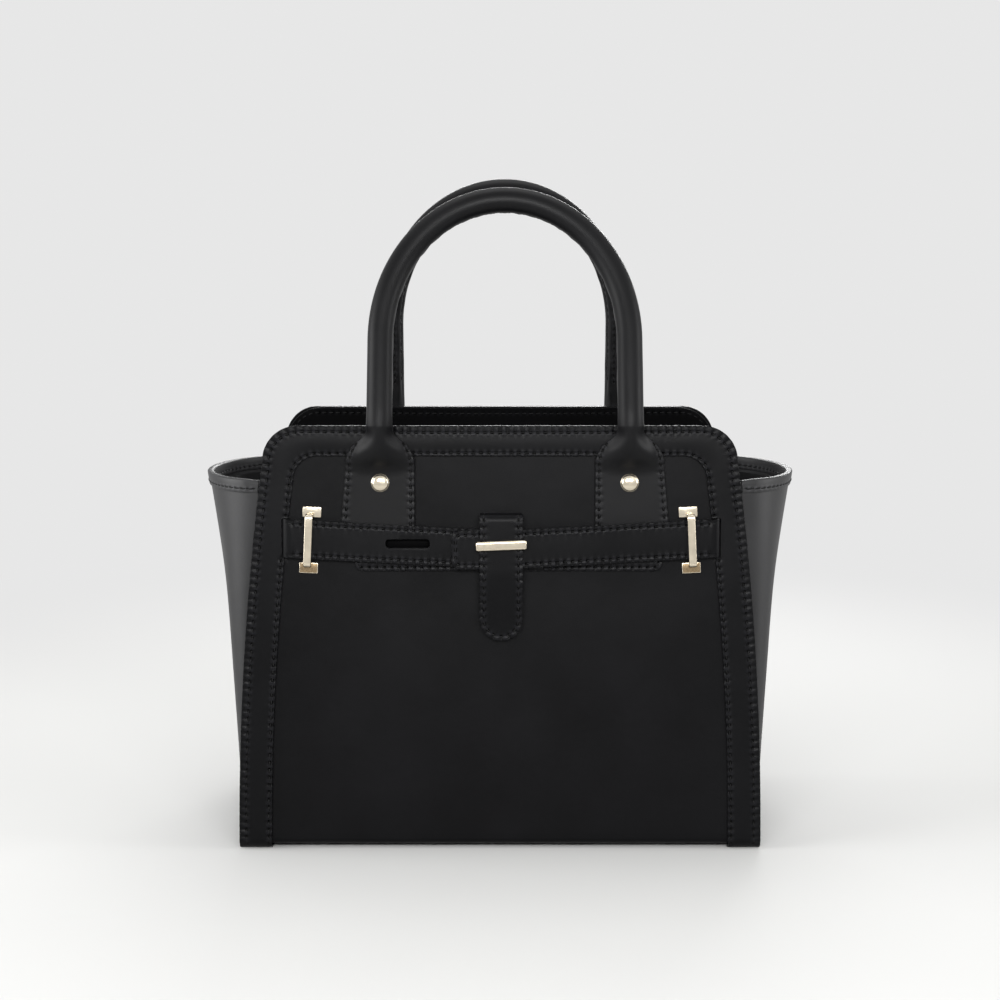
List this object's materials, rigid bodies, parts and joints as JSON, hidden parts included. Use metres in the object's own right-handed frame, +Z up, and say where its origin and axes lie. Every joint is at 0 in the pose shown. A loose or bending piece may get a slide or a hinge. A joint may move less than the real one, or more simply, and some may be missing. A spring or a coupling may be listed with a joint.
{
  "type": "handbag",
  "caption": "Structured leather handbag with winged sides, rolled handles that fold, and a belt held through metal staples under a lifting closing tab.",
  "frame": {"origin": "middle of the underside, on the surface the bag stands on", "axes": "+Z up, -Y out of the front wall with the belt, +X to the right of someone facing the front"},
  "size_m": [0.35, 0.1564, 0.3847],
  "materials": {
    "black_leather": "smooth semi-gloss calf, black",
    "lining_cloth": "matt woven lining, black",
    "cord": "firm twisted cord, hidden",
    "board": "stiffening board, hidden",
    "pale_gold": "polished pale gold plating",
    "steel": "plain nickel plated, mostly hidden"
  },
  "bodies": {
    "bag": {"base_board": "board", "base_panel": "black_leather", "closing_anchor": "black_leather", "front_band": "black_leather", "rear_band": "black_leather", "front_facing": "black_leather", "rear_facing": "black_leather", "front_panel": "black_leather", "rear_panel": "black_leather", "front_left_rivet_cap": "pale_gold", "front_left_rivet_post": "pale_gold", "front_right_rivet_cap": "pale_gold", "front_right_rivet_post": "pale_gold", "rear_left_rivet_cap": "pale_gold", "rear_left_rivet_post": "pale_gold", "rear_right_rivet_cap": "pale_gold", "rear_right_rivet_post": "pale_gold", "front_left_tab": "black_leather", "front_right_tab": "black_leather", "rear_left_tab": "black_leather", "rear_right_tab": "black_leather", "left_gusset": "black_leather", "right_gusset": "black_leather", "left_rim_binding": "black_leather", "right_rim_binding": "black_leather", "left_staple_bar": "pale_gold", "left_staple_upper_plate": "pale_gold", "left_staple_lower_plate": "pale_gold", "left_staple_backing": "steel", "right_staple_bar": "pale_gold", "right_staple_upper_plate": "pale_gold", "right_staple_lower_plate": "pale_gold", "right_staple_backing": "steel", "left_strap": "black_leather", "right_strap": "black_leather", "lining": "lining_cloth", "lock_back_plate": "steel", "lock_patch": "black_leather", "magnet_lug": "steel"},
    "front_handle": {"front_handle_grip": "black_leather", "front_handle_core": "cord"},
    "rear_handle": {"rear_handle_grip": "black_leather", "rear_handle_core": "cord"},
    "closing_leaf": {"closing_tab": "black_leather", "lock_bar": "pale_gold", "lock_keeper": "steel"}
  },
  "joints": [
    {"name": "front_handle_fold", "type": "hinge", "parent": "bag", "child": "front_handle", "pos_m": [0.0028, -0.07093, 0.24537], "axis": [1, 0, 0], "range_deg": [-7, 97]},
    {"name": "rear_handle_fold", "type": "hinge", "parent": "bag", "child": "rear_handle", "pos_m": [0.0028, 0.07093, 0.24537], "axis": [-1, 0, 0], "range_deg": [-19, 85]},
    {"name": "closing_tab_lift", "type": "hinge", "parent": "bag", "child": "closing_leaf", "pos_m": [0.0007, -0.07268, 0.19033], "axis": [-1, 0, 0], "range_deg": [0, 100]}
  ]
}
